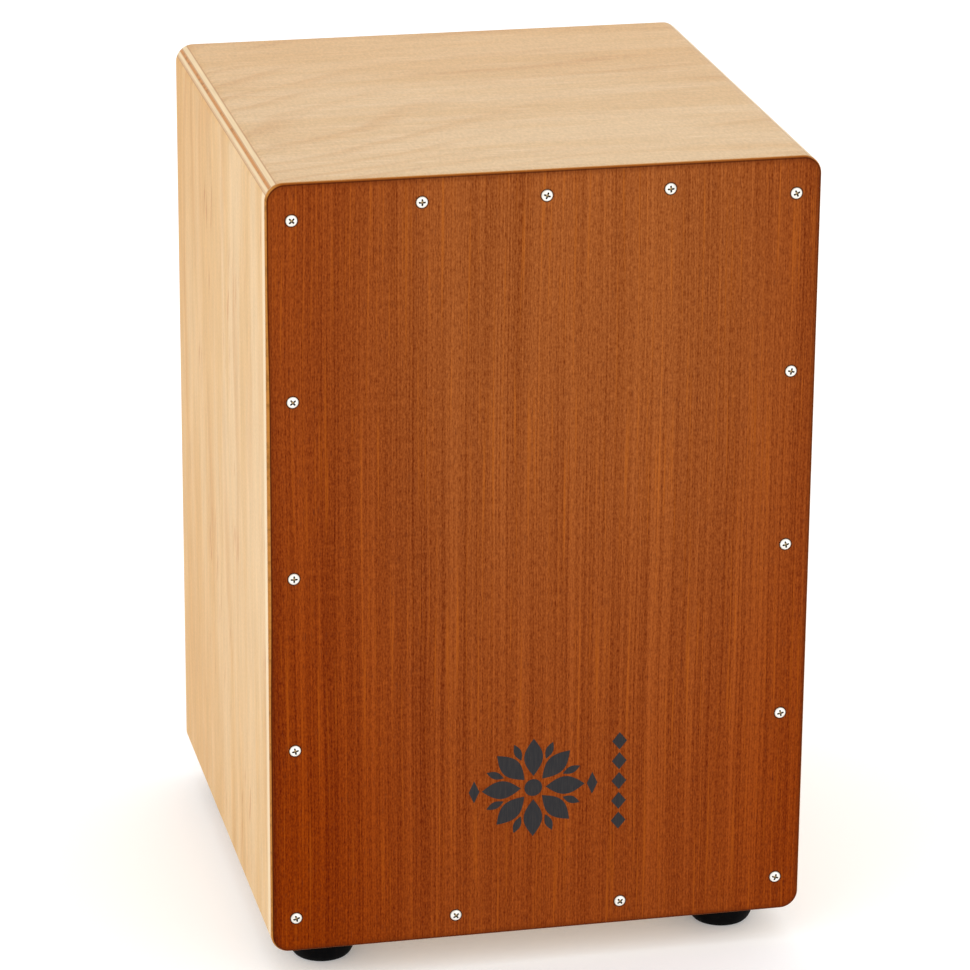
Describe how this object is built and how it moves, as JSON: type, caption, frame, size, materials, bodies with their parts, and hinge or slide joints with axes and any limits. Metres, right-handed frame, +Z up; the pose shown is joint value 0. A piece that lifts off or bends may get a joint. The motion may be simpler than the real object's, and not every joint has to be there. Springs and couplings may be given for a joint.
{
  "type": "cajon",
  "caption": "Box drum of birch plywood with a screwed-on playing plate, round rear sound hole, crossbar with two half snares, and rubber feet.",
  "frame": {"origin": "middle of the bottom of the bounding box: on the floor, under the middle of the drum", "axes": "+Z up; the playing plate faces -Y and the sound hole +Y; +X to the right for someone facing the plate"},
  "size_m": [0.3, 0.3012, 0.457],
  "materials": {
    "birch_plywood": "satin clear lacquer over pale rotary-cut birch veneer, plies showing on rounded edges",
    "mahogany_plywood": "satin lacquer over red-brown ribbon-grained mahogany veneer",
    "solid_softwood": "planed, unfinished",
    "foot_rubber": "moulded matt black",
    "nickel_screw": "bright nickel plate",
    "zinc_screw": "dull zinc plate",
    "snare_steel": "rolled steel strip",
    "snare_wire": "bright coiled steel wire"
  },
  "bodies": {
    "root": {"back_panel": "birch_plywood", "bottom_panel": "birch_plywood", "foot_front_left": "foot_rubber", "foot_front_right": "foot_rubber", "foot_rear_left": "foot_rubber", "foot_rear_right": "foot_rubber", "foot_screw_front_left": "zinc_screw", "foot_screw_front_right": "zinc_screw", "foot_screw_rear_left": "zinc_screw", "foot_screw_rear_right": "zinc_screw", "foot_washer_front_left": "zinc_screw", "foot_washer_front_right": "zinc_screw", "foot_washer_rear_left": "zinc_screw", "foot_washer_rear_right": "zinc_screw", "front_batten_bottom": "solid_softwood", "front_batten_left": "solid_softwood", "front_batten_right": "solid_softwood", "front_batten_top": "solid_softwood", "front_plate": "mahogany_plywood", "front_plate_screws_bottom": "nickel_screw", "front_plate_screws_left": "nickel_screw", "front_plate_screws_right": "nickel_screw", "front_plate_screws_top": "nickel_screw", "left_side_panel": "birch_plywood", "rear_batten_bottom": "solid_softwood", "rear_batten_left": "solid_softwood", "rear_batten_right": "solid_softwood", "rear_batten_top": "solid_softwood", "right_side_panel": "birch_plywood", "snare_bar": "solid_softwood", "snare_bar_screws": "zinc_screw", "snare_end_plate_left": "snare_steel", "snare_end_plate_right": "snare_steel", "snare_end_plate_screws_left": "zinc_screw", "snare_end_plate_screws_right": "zinc_screw", "snare_wires_left": "snare_wire", "snare_wires_right": "snare_wire", "top_panel": "birch_plywood"}
  },
  "joints": []
}
